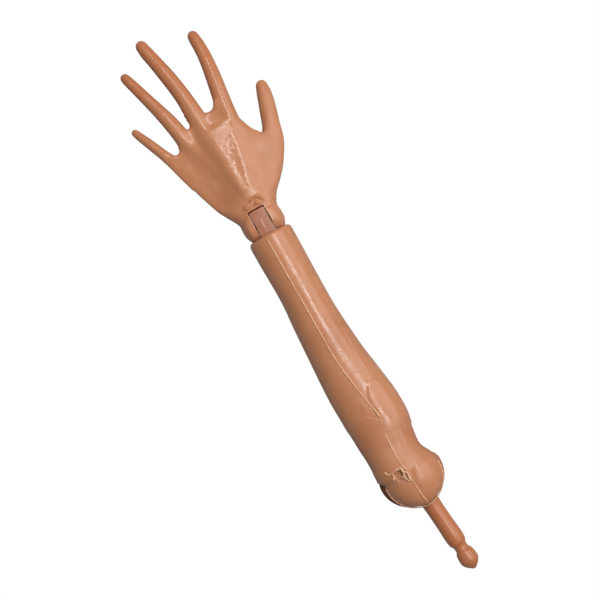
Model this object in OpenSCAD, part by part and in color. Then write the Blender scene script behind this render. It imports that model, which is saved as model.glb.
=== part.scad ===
// Left forearm and hand of a one-sixth scale jointed doll.
// The elbow peg lies along X with its knob at -X, the hand points to +X,
// the thumb is on the -Y side, and +Z is the back of the hand.
// All sizes are in millimetres.

/* [Forearm] */
// Elbow pivot to the wrist rim
forearm_length = 37.2; // [34:0.1:41]
// Outside radius at the wrist
wrist_r = 3.1; // [2.8:0.05:3.6]
// Swell of the forearm beyond the wrist radius, thumb side
thumb_side_swell = 1.6; // [0.8:0.05:2.4]
// Swell of the forearm beyond the wrist radius, little-finger side
little_side_swell = 0.8; // [0.2:0.05:1.6]
// Half depth of the forearm at the elbow and the belly
half_depth = 3.95; // [3.4:0.05:4.2]
// Rounding of the wrist rim
rim_round = 0.6; // [0.3:0.05:0.8]

/* [Elbow] */
// Radius of the round elbow ears
elbow_r = 4.1; // [3.9:0.05:4.8]
// Sideways distance from the elbow pivot to the wrist axis
elbow_offset = 0.95; // [0.5:0.05:1.4]
// Width of the slot between the ears
elbow_slot = 2.6; // [2.5:0.05:3]
// Radius of the peg's disc between the ears
disc_r = 3.1; // [2.8:0.05:3.3]
// Radius of the elbow cross pin
elbow_pin_r = 0.8; // [0.5:0.05:1.1]
// Bend of the elbow at rest, in degrees
elbow_rest = 5; // [0:1:30]

/* [Elbow peg] */
// Radius of the peg's round shank
peg_r = 1.22; // [1:0.01:1.25]
// Elbow pivot to the start of the bare shank
peg_shoulder = 5; // [4.6:0.1:6]
// Length of the bare shank
peg_shank = 6; // [4:0.1:9]
// Radius of the neck behind the knob
peg_neck_r = 0.92; // [0.7:0.01:1]
// Largest radius of the snap knob
peg_knob_r = 1.3; // [1.26:0.01:1.45]

/* [Wrist] */
// Rim to the wrist hinge pin
wrist_reach = 1.7; // [1.5:0.05:2]
// Radius of the hand's round base
ball_r = 3; // [2.7:0.05:3.3]
// Half thickness of the hand at its base
base_half = 2.2; // [1.9:0.05:2.5]
// Thickness of the flat tongue
tongue_thickness = 2.2; // [1.8:0.05:2.5]
// Radius of the tongue's round end
tongue_r = 1.95; // [1.6:0.05:2.1]
// Radius of the wrist cross pin
wrist_pin_r = 0.5; // [0.35:0.05:0.7]
// Radius of the stem that turns in the forearm
stem_r = 1.1; // [0.8:0.05:1.2]
// Length of the stem's bore before its barb
stem_length = 5.4; // [4:0.1:9]

/* [Hand] */
// Wrist hinge to the middle finger's tip
hand_length = 29.7; // [26:0.1:33]
// Half thickness of the palm at its thickest
palm_half = 2.3; // [1.8:0.05:2.6]
// Thickness of the fingers compared with their width
finger_depth = 1; // [0.8:0.05:1.1]

/* [Fits] */
// Running clearance of the pins and the stem, on the radius
pin_clearance = 0.05; // [0.02:0.01:0.09]
// Side clearance of the disc and of the tongue in their slots
slot_clearance = 0.1; // [0.06:0.01:0.2]
// Clearance of the hand's round base in the forearm's cup
cup_clearance = 0.1; // [0.06:0.01:0.2]
// Clearance between the stiff core and the skins
skin_clearance = 0.03; // [0.02:0.01:0.1]

/* [Hidden] */
$fn = 48;
eps = 0.01;
drawn_forearm = 37.2; // the forearm and hand tables are written at these two lengths
drawn_hand = 29.7;
forearm_stretch = forearm_length / drawn_forearm;
hand_stretch = hand_length / drawn_hand;
wrist_x = forearm_length + wrist_reach; // wrist hinge, from the elbow pivot
pivot_x = peg_shoulder + peg_shank / 2; // elbow pivot, from the middle of the shank
core_ear_r = 2.7;
core_ear_top = 2.7;
core_bar_r = 1.9;
barb_rise = 0.2;
barb_length = 1.2;
barb_play = 0.1;
barb_room = 0.6;
cup_r = ball_r + cup_clearance;
cup_floor = wrist_x - cup_r;
socket_end = cup_floor - stem_length - barb_length - barb_room;
slot_half = elbow_slot / 2;
disc_half = slot_half - slot_clearance;
tongue_half = tongue_thickness / 2;
loft_sides = 28;
tube_sides = 16;
big = 60;

// Colours
skin_tone = [0.78, 0.53, 0.4];
peg_tone = [0.76, 0.5, 0.39];
core_tone = [0.74, 0.5, 0.42];
pin_tone = [0.8, 0.78, 0.76];

// ---------- shared functions ----------

function signed_power(v, p) = sign(v) * pow(abs(v), p);
function mix(a, b, t) = a + (b - a) * t;
// A rounded ring in the plane x: side and height limits, squareness e
function ring(x, right, left, low, top, e, n) = [for (i = [0:n - 1])
    let (t = (i + 0.5) * 360 / n, c = signed_power(cos(t), 2 / e), s = signed_power(sin(t), 2 / e))
    [x, (left + right) / 2 + c * (left - right) / 2, s > 0 ? s * top : s * low]];
// A larger value that follows the bigger of two, with a soft corner of size k
function soft_max(a, b, k) = max(a, b) + k * exp(-abs(a - b) / k) / 2;

// Joins rings of equal count, in order along +X, into one closed solid
module loft(rings) {
    n = len(rings[0]);
    last = len(rings) - 1;
    points = [for (r = rings) each r];
    sides = [for (k = [0:last - 1], i = [0:n - 1])
        let (j = (i + 1) % n, a = k * n + i, b = k * n + j, c = a + n, d = b + n)
        each [[a, c, d], [a, d, b]]];
    polyhedron(points, concat([[for (i = [0:n - 1]) i]],
        [[for (i = [0:n - 1]) last * n + n - 1 - i]], sides), convexity = 6);
}

// Puts the forearm's own frame (elbow pivot at y = -elbow_offset, wrist axis on X) in place
module forearm_frame() {
    translate([pivot_x, 0, 0]) rotate([0, 0, -elbow_rest]) translate([0, elbow_offset, 0]) children();
}
module at_elbow() { translate([0, -elbow_offset, 0]) children(); }
module at_wrist() { translate([wrist_x, 0, 0]) children(); }
module along_x(x0, length, r) { translate([x0, 0, 0]) rotate([0, 90, 0]) cylinder(r = r, h = length); }
module cone_x(x0, length, r0, r1) { translate([x0, 0, 0]) rotate([0, 90, 0]) cylinder(r1 = r0, r2 = r1, h = length); }
// A disc about Y with bevelled edges
module bevelled_disc(r, half, bevel) {
    rotate_extrude() polygon([[0, -half], [r - bevel, -half], [r, -half + bevel], [r, half - bevel],
        [r - bevel, half], [0, half]]);
}

// ---------- forearm ----------

// Swell of the forearm along its length, as a share of the full swell: x, thumb side, little side, depth
swell_table = [
    [1.1, 0.62, 0.6, 1], [2.1, 0.58, 0.58, 1], [2.8, 0.56, 0.5, 1], [3.6, 0.56, 0.48, 1],
    [4.6, 0.64, 0.5, 1], [6.1, 0.82, 0.68, 1], [7.7, 0.99, 0.72, 1], [9.3, 0.99, 0.9, 1],
    [10.9, 0.96, 0.9, 0.98], [13.3, 0.76, 1, 0.92], [15.7, 0.55, 0.9, 0.84], [18.1, 0.3, 0.77, 0.72],
    [20.5, 0.17, 0.58, 0.58], [22.9, 0.04, 0.42, 0.42], [25.3, -0.04, 0.2, 0.27], [27.7, -0.04, -0.05, 0.14],
    [30.8, -0.03, -0.05, 0.05], [33.8, 0, 0.03, 0]];
bulb_stations = [-1, -0.985, -0.95, -0.88, -0.78, -0.65, -0.5, -0.33, -0.16, 0, 0.13];
rim_steps = [0, 30, 55, 75, 90];

function ear_height(x) = half_depth * pow(1 - pow(abs(x) / (elbow_r * 1.07), 3), 1 / 3);
function bulb_width(x) = max(0.12 * elbow_r, sqrt(max(0, pow(elbow_r, 2) - x * x)));
forearm_rings = concat(
    [for (f = bulb_stations) let (x = f * elbow_r, w = bulb_width(x), h = ear_height(x))
        ring(x, -elbow_offset - w, -elbow_offset + w, h, h, 2.4, loft_sides)],
    [for (s = swell_table) let (x = s[0] * forearm_stretch,
        plain = wrist_r + thumb_side_swell * s[1],
        bulb = x < elbow_r ? elbow_offset + bulb_width(x) : 0,
        h = mix(wrist_r, half_depth, s[3]))
        ring(x, -soft_max(plain, bulb, 0.3), wrist_r + little_side_swell * s[2], h, h,
            mix(2.05, 2.35, s[3]), loft_sides)],
    [for (a = rim_steps) let (x = forearm_length - rim_round * (1 - sin(a)),
        r = wrist_r - rim_round * (1 - cos(a)))
        ring(x, -r, r, r, r, 2, loft_sides)]);

// The wandering joint line between the two skins, seen from above, as x and y
seam_line = [[-6, -1.2], [-4.2, -1.05], [-2.2, -0.75], [-0.2, -0.7], [0.6, -0.6], [1.8, -0.5],
    [2.8, -0.3], [4.8, -0.35], [7.1, -0.5], [8.8, -1], [10.8, -0.7], [12.8, -0.3], [14.8, 0],
    [16.8, 0.3], [18.8, 0.45], [20.8, 0.5], [25.8, 0.5], [30.8, 0.55], [35.8, 0.55], [42, 0.5]];
module thumb_side() {
    linear_extrude(height = big, center = true)
        polygon(concat([for (p = seam_line) [p[0] * forearm_stretch, p[1]]],
            [[forearm_length + 10, -15], [-10, -15], [-10, -1.2]]));
}

// The slanted slot that the peg swings in
slot_floor = disc_r + 0.19; // distance of the floor from the pivot
floor_turn = 32.5; // tilt of the floor
module elbow_slot_space() {
    at_elbow() rotate([0, 0, floor_turn])
        translate([slot_floor - 20, -20, -slot_half]) cube([20, 40, elbow_slot]);
}

// Stiff core, larger by grow where the skins are hollowed for it
module core_body(grow) {
    difference() {
        union() {
            at_elbow() cylinder(r = core_ear_r + grow, h = 2 * (core_ear_top + grow), center = true);
            translate([0, 0, -core_ear_top - grow]) linear_extrude(height = 2 * (core_ear_top + grow))
                polygon([[0, -elbow_offset - core_ear_r - grow], [1.2, -2.6 - grow],
                    [2.2, -1.9 - grow], [7, -1.8 - grow], [10 + grow, -1.4 - grow],
                    [10 + grow, 1.4 + grow], [7, 1.8 + grow],
                    [0, -elbow_offset + core_ear_r + grow]]);
            along_x(8, cup_floor - 8 + 0.4, core_bar_r + grow);
        }
        elbow_slot_space();
    }
}
module wrist_cup() {
    at_wrist() sphere(r = cup_r);
}
module stem_bore() {
    along_x(cup_floor - stem_length - eps, stem_length + 2, stem_r + pin_clearance);
    along_x(socket_end, barb_length + barb_room, stem_r + barb_rise + barb_play);
}
// The torn hole in the skin, down to the core
module torn_hole() {
    translate([0, 0, core_ear_top - 0.6]) linear_extrude(height = 3)
        polygon([[0.05, 0.15], [0.5, -0.02], [0.95, 0.2], [1.5, 0.05], [1.85, 0.5], [1.7, 1.05],
            [1.8, 1.5], [1.25, 1.42], [0.8, 1.6], [0.45, 1.3], [-0.05, 1.2], [0.15, 0.7]]);
}
module skin() {
    difference() {
        loft(forearm_rings);
        elbow_slot_space();
        core_body(skin_clearance);
        wrist_cup();
    }
}

// Inner stiff skeleton: elbow fork, bar and wrist socket
module forearm_core() {
    color(core_tone) forearm_frame() difference() {
        core_body(0);
        at_elbow() cylinder(r = elbow_pin_r, h = big, center = true);
        stem_bore();
        wrist_cup();
    }
}
// Skin over the thumb side of the forearm
module forearm_shell_thumb_side() {
    color(skin_tone) forearm_frame() intersection() {
        skin();
        thumb_side();
    }
}
// Skin over the little-finger side, with the tear
module forearm_shell_little_finger_side() {
    color(skin_tone) forearm_frame() difference() {
        skin();
        thumb_side();
        torn_hole();
    }
}
// Cross pin of the elbow
module elbow_pin() {
    color(pin_tone) forearm_frame() at_elbow()
        cylinder(r = elbow_pin_r, h = 2 * core_ear_top, center = true);
}

// ---------- elbow peg ----------

web_half = 1.6;
disc_bevel = 0.25;
neck_start = peg_shoulder + peg_shank;
peg_root_r = peg_r - 0.22; // inside the flat web
knob_swell = 0.015;
module peg_profile() {
    // distance from the pivot and radius, along the peg
    polygon([[0, disc_r - 0.6], [peg_root_r, disc_r - 0.6], [peg_root_r, peg_shoulder], [peg_r, peg_shoulder],
        [peg_r, neck_start], [peg_neck_r, neck_start + 0.45],
        [peg_neck_r, neck_start + 1.05], [mix(peg_neck_r, peg_knob_r, 0.75), neck_start + 1.4],
        [peg_knob_r - knob_swell, neck_start + 1.9], [peg_knob_r, neck_start + 2.3],
        [peg_knob_r - knob_swell, neck_start + 2.7],
        [mix(peg_knob_r, 0, 0.1), neck_start + 3.2], [mix(peg_knob_r, 0, 0.45), neck_start + 3.75],
        [0.2, neck_start + 4.05], [0, neck_start + 4.12]]);
}
// Disc, shank and snap knob
module elbow_peg() {
    color(peg_tone) translate([pivot_x, 0, 0]) difference() {
        union() {
            bevelled_disc(disc_r, disc_half, disc_bevel);
            rotate([0, -90, 0]) rotate_extrude() peg_profile();
            translate([0, 0, -disc_half]) linear_extrude(height = 2 * disc_half)
                polygon([[-disc_r + 1, -web_half - 0.3], [-disc_r + 1, web_half + 0.3],
                    [-peg_shoulder + 0.9, peg_r + 0.1], [-peg_shoulder, peg_r - 0.15],
                    [-peg_shoulder, -peg_r + 0.15], [-peg_shoulder + 0.9, -peg_r - 0.1]]);
        }
        cylinder(r = elbow_pin_r + pin_clearance, h = big, center = true);
    }
}

// ---------- wrist ----------

tongue_bevel = 0.2;
cup_gap = 0.24; // tongue's corners to the wrist cup, along X
// Pivot to the tongue's flat back
tongue_root = sqrt(pow(cup_r, 2) - pow(tongue_r, 2) - pow(tongue_half, 2)) - cup_gap;
// Flat tongue on a round stem with a barb
module wrist_peg() {
    color(peg_tone) forearm_frame() difference() {
        union() {
            at_wrist() rotate([90, 0, 0]) bevelled_disc(tongue_r, tongue_half, tongue_bevel);
            at_wrist() translate([-tongue_root, -tongue_half, -tongue_r])
                cube([tongue_root, tongue_thickness, 2 * tongue_r]);
            along_x(cup_floor - stem_length - 0.1, wrist_x - 1.2 - cup_floor + stem_length + 0.1, stem_r);
            cone_x(cup_floor - stem_length - barb_length - 0.1, barb_length, stem_r * 0.7, stem_r + barb_rise);
        }
        at_wrist() rotate([90, 0, 0]) cylinder(r = wrist_pin_r + pin_clearance, h = big, center = true);
    }
}
// Cross pin of the wrist
module wrist_pin() {
    color(pin_tone) forearm_frame() at_wrist() rotate([90, 0, 0])
        cylinder(r = wrist_pin_r, h = 2 * (ball_r - 0.12), center = true);
}

// ---------- hand ----------

// Palm at its drawn length: x from the wrist hinge, thumb side, little side, back, palm, squareness
palm_table = [
    [0.1, -2.85, 2.85, 0.9, 0.9, 2.3], [1.4, -2.9, 2.95, 0.95, 0.95, 2.3], [1.9, -3.15, 3.3, 0.95, 0.95, 2.3],
    [2.9, -3.8, 3.9, 0.94, 0.98, 2.3], [3.9, -4.7, 4.5, 0.92, 1, 2.3], [4.9, -5.5, 4.85, 0.9, 1, 2.3],
    [5.9, -6.1, 5.2, 0.87, 1, 2.3], [7.9, -6.9, 5.9, 0.85, 0.98, 2.3], [9.7, -6.6, 6.4, 0.82, 0.94, 2.3],
    [10.95, -5.6, 6.5, 0.8, 0.9, 2.3], [11.9, -4.9, 6.2, 0.78, 0.86, 2.3], [13.4, -4.45, 5.25, 0.72, 0.79, 2.4],
    [14.7, -4.3, 4.9, 0.63, 0.7, 2.5], [15.5, -4.1, 4.6, 0.52, 0.6, 2.5], [15.9, -3.8, 4.3, 0.4, 0.47, 2.5]];
palm_rings = [for (s = palm_table)
    ring(s[0] * hand_stretch, s[1], s[2], s[4] * palm_half, s[3] * palm_half, s[5], loft_sides + 4)];

// Fingers: root x and y, tip x and y, sideways bow, root width, tip width, drop of the tip
finger_table = [
    [5.6, -4.2, 17.1, -9.05, -0.75, 3.3, 1.6, 2.6],
    [12.1, -2.55, 27.4, -4.15, -0.29, 2.8, 1.55, 2.9],
    [12.1, 0.75, 29.7, 2.85, -0.55, 2.8, 1.65, 2.86],
    [12.1, 3.3, 26.85, 6.95, -0.35, 2.5, 1.3, 2.95],
    [8.6, 5, 19.65, 9.4, -0.15, 2.3, 1.05, 2.5]];
tube_steps = 12;
finger_curl = 1.7; // how late a finger bends down along its length
tip_angles = [0, 25, 45, 62, 76, 86];

function finger_spine(f, t) = [mix(f[0], f[2], t) * hand_stretch,
    mix(f[1], f[3], t) + f[4] * 4 * t * (1 - t), -f[7] * pow(max(t, 0), finger_curl)];
function unit(v) = v / norm(v);
function finger_ring(f, t, ahead, scale_by) = let (
    p = finger_spine(f, t), d = unit(finger_spine(f, t + 0.02) - finger_spine(f, t - 0.02)),
    s = unit(cross([0, 0, 1], d)), u = cross(d, s),
    w = mix(f[5], f[6], t) / 2 * scale_by, h = w * finger_depth)
    [for (i = [0:tube_sides - 1]) let (a = (i + 0.5) * 360 / tube_sides)
        p + d * ahead + s * w * cos(a) + u * h * sin(a)];
module finger(f) {
    tip = f[6] / 2;
    end = 1 - tip * 1.1 / norm([f[2] - f[0], f[3] - f[1]]);
    loft(concat([for (k = [0:tube_steps - 1]) finger_ring(f, end * k / tube_steps, 0, 1)],
        [for (a = tip_angles) finger_ring(f, end, tip * 1.1 * sin(a), cos(a))]));
}

module hand_base() {
    intersection() {
        sphere(r = ball_r);
        union() {
            rotate([90, 0, 0]) cylinder(r = base_half, h = 3 * ball_r, center = true);
            translate([0, -ball_r, -base_half]) cube([ball_r, 2 * ball_r, 2 * base_half]);
        }
    }
}
// Palm, thumb and four fingers, forked at the wrist
module hand() {
    color(skin_tone) forearm_frame() at_wrist() difference() {
        union() {
            hand_base();
            loft(palm_rings);
            for (f = finger_table) finger(f);
        }
        translate([-2 * ball_r, -tongue_half - slot_clearance, -big / 2])
            cube([2 * ball_r + tongue_r + slot_clearance, tongue_thickness + 2 * slot_clearance, big]);
        rotate([90, 0, 0]) cylinder(r = wrist_pin_r, h = big, center = true);
    }
}

hand();
wrist_pin();
wrist_peg();
forearm_core();
forearm_shell_thumb_side();
forearm_shell_little_finger_side();
elbow_pin();
elbow_peg();
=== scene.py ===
"""Looks of a jointed doll's left forearm and hand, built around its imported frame."""

import math

import bmesh
import bpy
import numpy as np
from bpy.props import FloatProperty, IntProperty, PointerProperty
from mathutils import Matrix, Vector
from mathutils.bvhtree import BVHTree


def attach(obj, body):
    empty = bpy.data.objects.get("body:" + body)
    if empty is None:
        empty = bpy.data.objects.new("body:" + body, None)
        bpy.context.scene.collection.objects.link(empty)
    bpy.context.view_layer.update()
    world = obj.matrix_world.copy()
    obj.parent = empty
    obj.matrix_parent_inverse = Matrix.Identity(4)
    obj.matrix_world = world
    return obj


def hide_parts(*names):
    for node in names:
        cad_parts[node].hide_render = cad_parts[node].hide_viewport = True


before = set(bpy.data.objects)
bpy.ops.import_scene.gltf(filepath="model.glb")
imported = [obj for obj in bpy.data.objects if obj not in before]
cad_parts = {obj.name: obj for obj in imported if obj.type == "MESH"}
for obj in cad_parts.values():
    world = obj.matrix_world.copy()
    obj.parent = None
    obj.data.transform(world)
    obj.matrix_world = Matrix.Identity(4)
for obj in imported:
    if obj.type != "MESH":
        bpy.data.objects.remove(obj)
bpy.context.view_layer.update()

bl_info = {
    "name": "Doll Forearm Looks",
    "version": (1, 0, 0),
    "blender": (4, 5, 0),
    "location": "View3D > Sidebar > Doll Arm",
    "description": "Builds the vinyl skins, hand, joints and studio of a jointed doll's forearm",
    "category": "Object",
}

MM = 0.001

# ---------------------------------------------------------------- sizes, in millimetres
# The arm's own frame has the wrist axis on X, the elbow pivot at y = -ELBOW_OFFSET and
# the back of the hand up. It stands in the row frame as ARM_PLACE says.
ELBOW_OFFSET = 0.95
PIVOT_X = 8.0
ELBOW_REST = math.radians(5.0)
FOREARM_LENGTH = 37.2
WRIST_X = 38.9
WRIST_R = 3.1
RIM_ROUND = 0.6
ELBOW_R = 4.1
HALF_DEPTH = 3.7
EAR_MIDDLE = (-0.25, -0.92)
EAR_SQUARENESS = 2.3
EAR_STEPS = (
    -1, -0.995, -0.98, -0.955, -0.92, -0.875, -0.82, -0.755, -0.68, -0.6, -0.51, -0.41, -0.31,
    -0.2, -0.1, 0, 0.1,
)
# How much the lower ear is wider than the upper one, off to one side and set back
LOW_EAR_SPREAD = 0.6
LOW_EAR_SHIFT = 0.08
LOW_EAR_BACK = 0.26
CUP_R = 3.1
BALL_R = 3.0
BASE_HALF = 2.2
TONGUE_HALF = 1.1
TONGUE_R = 1.95
TONGUE_ROOT = 1.9
TONGUE_TOP = 2.08
TONGUE_CORNER = 0.3
TONGUE_SWEEP = 2.88
TONGUE_DRAFT = 0.085
SLOT_GAP = 0.1
WRIST_PIN_R = 0.5
PIN_CLEARANCE = 0.05
STEM_R = 1.1
ELBOW_SLOT_HALF = 1.3
SLOT_FLOOR = 3.29
SLOT_TURN = math.radians(32.5)
CORE_EAR_R = 2.73
CORE_EAR_TOP = 2.73
CORE_BAR_R = 1.93
CORE_BAR_START = 8.0
CORE_GAP = 0.03
SOCKET_MIDDLE, SOCKET_LENGTH = 34.2, 8.0
BARB_ROOM_X, BARB_ROOM_R, BARB_ROOM_LENGTH = 29.65, 1.4, 1.7
DISC_R = 3.1
DISC_HALF = 1.2
ELBOW_PIN_R = 0.8
FLOOR_Z = -3.85
# The point that the camera looks at, the height of its lens and the width of its picture
VIEW_MIDDLE = (27.5, 0.7)
LENS_HEIGHT = 250.0
VIEW_WIDTH = 80.0

ARM_PLACE = (
    Matrix.Translation((PIVOT_X, 0, 0))
    @ Matrix.Rotation(-ELBOW_REST, 4, "Z")
    @ Matrix.Translation((0, ELBOW_OFFSET, 0))
)
ROW_PLACE = Matrix.Translation((PIVOT_X, 0, 0))
ELBOW = Matrix.Translation((0, -ELBOW_OFFSET, 0))
# Turns that lay a rod's or a profile's own axis along the arm, or across it
ALONG = Matrix.Rotation(math.pi / 2, 4, "Y")
ACROSS = Matrix.Rotation(math.pi / 2, 4, "X")

# ---------------------------------------------------------------- tables
# x, thumb side, little-finger side, half depth, squareness, extra of the lower half at the
# thumb side and at the little-finger side
FOREARM_TABLE = [
    (1.1, -4.7, 3.56, 3.7, 2.3, 0.34, 0.1), (1.7, -4.42, 3.58, 3.7, 2.3, 0.3, 0.0),
    (2.3, -4.12, 3.55, 3.7, 2.3, 0.26, 0.0), (2.9, -3.92, 3.5, 3.7, 2.3, 0.22, 0.0),
    (3.6, -3.9, 3.48, 3.7, 2.32, 0.2, 0.0), (4.5, -4.02, 3.5, 3.7, 2.34, 0.18, 0.0),
    (6.1, -4.33, 3.62, 3.72, 2.35, 0.1, 0.0), (7.7, -4.66, 3.68, 3.7, 2.33, 0.0, 0.0),
    (9.3, -4.7, 3.8, 3.7, 2.3, 0.0, 0.0), (10.9, -4.63, 3.84, 3.69, 2.3, 0.0, 0.0),
    (13.3, -4.32, 3.9, 3.65, 2.27, 0.0, 0.0), (15.7, -3.95, 3.82, 3.6, 2.25, 0.0, 0.0),
    (18.1, -3.6, 3.7, 3.53, 2.2, 0.0, 0.0), (20.5, -3.36, 3.56, 3.45, 2.17, 0.0, 0.0),
    (22.9, -3.16, 3.42, 3.35, 2.14, 0.0, 0.0), (25.3, -3.03, 3.25, 3.26, 2.1, 0.0, 0.0),
    (27.7, -3.02, 3.07, 3.18, 2.07, 0.0, 0.0), (30.8, -3.05, 3.05, 3.13, 2.05, 0.0, 0.0),
    (33.8, -3.08, 3.12, 3.1, 2.02, 0.0, 0.0), (36.4, -3.1, 3.14, 3.1, 2.0, 0.0, 0.0),
]
# x, thumb side, little-finger side, back, palm, squareness
PALM_TABLE = [
    (38.95, -2.75, 2.75, 2.05, 2.05, 2.5), (39.8, -2.86, 2.9, 2.1, 2.12, 2.5),
    (40.4, -2.95, 3.1, 2.16, 2.2, 2.45), (40.8, -3.15, 3.32, 2.2, 2.25, 2.4),
    (41.8, -3.78, 3.9, 2.22, 2.3, 2.3), (42.8, -4.8, 4.46, 2.18, 2.34, 2.25),
    (43.8, -5.72, 4.85, 2.12, 2.34, 2.2), (44.8, -6.5, 5.2, 2.05, 2.3, 2.2),
    (45.8, -7.1, 5.55, 2.02, 2.25, 2.2), (46.8, -7.4, 5.85, 1.98, 2.2, 2.2),
    (48.4, -7.0, 6.3, 1.92, 2.1, 2.2), (49.85, -5.45, 6.4, 1.86, 2.02, 2.2),
    (50.8, -4.82, 6.1, 1.8, 1.95, 2.2), (51.8, -4.4, 5.0, 1.68, 1.82, 2.3),
    (52.7, -4.1, 4.3, 1.5, 1.65, 2.4), (53.3, -3.8, 3.9, 1.25, 1.4, 2.4),
    (53.6, -3.4, 3.4, 0.9, 1.05, 2.4),
]
# Each finger: x, y, width, height of the middle line; the last row is where the tip starts
FINGERS = {
    "thumb": [
        (43.4, -3.3, 2.0, -0.1), (45.0, -4.6, 2.9, -0.15), (46.4, -5.65, 3.15, -0.3),
        (48.2, -6.75, 2.85, -0.65), (49.8, -7.32, 2.5, -1.05), (51.4, -7.85, 2.35, -1.45),
        (53.0, -8.34, 2.18, -1.85), (54.2, -8.63, 1.95, -2.18), (54.85, -8.76, 1.68, -2.36),
    ],
    "index": [
        (50.6, -2.45, 2.85, -0.02), (52.8, -2.8, 2.6, -0.05), (54.8, -3.06, 2.42, -0.2),
        (56.8, -3.36, 2.3, -0.5), (58.8, -3.68, 2.15, -0.92), (60.8, -3.93, 1.97, -1.44),
        (62.8, -4.07, 1.82, -2.03), (64.4, -4.02, 1.68, -2.53), (65.1, -3.98, 1.54, -2.76),
    ],
    "middle": [
        (50.6, 0.75, 2.75, -0.02), (52.8, 0.82, 2.7, -0.05), (54.8, 0.9, 2.58, -0.16),
        (56.8, 0.97, 2.43, -0.4), (58.8, 1.12, 2.24, -0.72), (60.8, 1.4, 2.16, -1.1),
        (62.8, 1.76, 2.06, -1.54), (64.8, 2.18, 1.9, -2.04), (66.6, 2.58, 1.76, -2.5),
        (67.25, 2.68, 1.62, -2.68),
    ],
    "ring": [
        (50.6, 3.35, 2.4, -0.02), (52.8, 3.68, 2.32, -0.06), (54.8, 3.95, 2.2, -0.24),
        (56.8, 4.36, 2.05, -0.57), (58.8, 4.9, 1.84, -1.02), (60.8, 5.5, 1.65, -1.58),
        (62.8, 6.1, 1.52, -2.22), (64.1, 6.5, 1.42, -2.64), (64.6, 6.66, 1.32, -2.8),
    ],
    "little": [
        (47.6, 5.0, 2.3, -0.02), (49.8, 5.85, 1.95, -0.12), (51.8, 6.55, 1.68, -0.42),
        (53.8, 7.38, 1.45, -0.92), (55.8, 8.25, 1.3, -1.56), (57.0, 8.78, 1.16, -2.02),
        (57.6, 9.03, 1.04, -2.24),
    ],
}
# The line where the two skins meet, seen from above
SEAM_LINE = [
    (-6.0, -1.2), (-4.2, -1.05), (-2.2, -0.75), (-0.2, -0.7), (0.6, -0.6), (1.8, -0.5),
    (2.8, -0.3), (4.8, -0.35), (7.1, -0.5), (8.8, -1.0), (10.8, -0.7), (12.8, -0.3),
    (14.8, 0.0), (16.8, 0.3), (18.8, 0.45), (20.8, 0.5), (25.8, 0.5), (30.8, 0.55),
    (35.8, 0.55), (42.0, 0.5),
]
# Outline of the tear, and the deeper patch in it
TORN_EDGE = [
    (1.58, 1.28), (1.65, 0.73), (1.67, 0.34), (1.49, -0.01), (1.11, -0.02), (0.96, -0.29),
    (0.55, -0.44), (0.13, -0.52), (-0.24, -0.61), (-0.34, -0.07), (-0.06, 0.16), (-0.05, 0.47),
    (0.07, 0.91), (0.09, 1.24), (0.5, 1.44), (0.52, 1.71), (0.97, 1.55), (1.27, 1.29),
]
TORN_DEEP = [
    (1.45, 1.1), (1.55, 0.6), (1.5, 0.2), (1.15, 0.15), (0.7, 0.25), (0.35, 0.4), (0.4, 0.85),
    (0.75, 1.0), (1.1, 1.05),
]
TEAR_FLOORS = (HALF_DEPTH - 0.26, HALF_DEPTH - 0.55)
FLASH_STRIPS = [
    # the raised line along the joint: start x, end x, half width
    (8.0, 37.0, 0.1),
    (2.5, 6.9, 0.085),
    (-4.3, -0.5, 0.105),
]
# Threads of vinyl round the tear: half width, then the points
TEAR_THREADS = [
    (0.085, [(2.29, 2.21), (2.06, 1.96), (1.73, 1.83), (1.7, 1.53), (1.72, 1.26), (1.78, 0.84),
             (1.82, 0.38), (1.76, -0.04)]),
    (0.06, [(1.73, 1.83), (1.63, 1.94), (1.52, 2.07)]),
    (0.075, [(1.72, 1.26), (1.37, 1.24), (1.06, 1.25), (0.8, 1.48), (0.55, 1.66)]),
    (0.07, [(1.06, 1.25), (0.68, 1.14), (0.35, 1.01), (0.11, 0.89)]),
    (0.085, [(2.5, -0.26), (2.13, -0.37), (1.72, -0.52), (1.34, -0.63), (1.04, -0.71)]),
    (0.045, [(1.04, -0.71), (1.15, -1.09), (1.26, -1.35), (1.3, -1.62)]),
    (0.08, [(1.76, -0.04), (1.39, -0.08), (1.04, -0.14), (0.71, -0.05), (0.38, 0.04), (0.04, 0.16)]),
    (0.09, [(1.04, -0.14), (1.0, -0.44), (0.73, -0.48), (0.35, -0.46), (0.03, -0.47),
            (-0.22, -0.58), (-0.55, -0.72)]),
    (0.07, [(0.38, 0.04), (0.17, -0.1), (-0.13, -0.19), (-0.29, -0.48)]),
    (0.06, [(0.75, -0.1), (0.6, 0.2), (0.68, 0.45)]),
]
# Fine moulding lines near the elbow: half width, then the points
MOULD_LINES = [
    (0.035, [(7.23, -0.69), (6.99, -1.31), (6.53, -1.67), (5.72, -1.75), (4.61, -1.82)]),
    (0.07, [(7.77, -2.44), (7.52, -2.6), (7.2, -2.73)]),
    (0.05, [(6.9, -2.64), (6.49, -2.56), (6.07, -2.48)]),
    (0.03, [(10.15, 0.58), (9.48, 0.2), (8.98, -0.37), (8.41, -0.89)]),
]


def between(a, b, t):
    return a + (b - a) * t


def ease(a, b, x):
    """Smooth 0 to 1 step of array x from a to b."""
    t = np.clip((x - a) / (b - a), 0.0, 1.0)
    return t * t * (3 - 2 * t)


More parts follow.
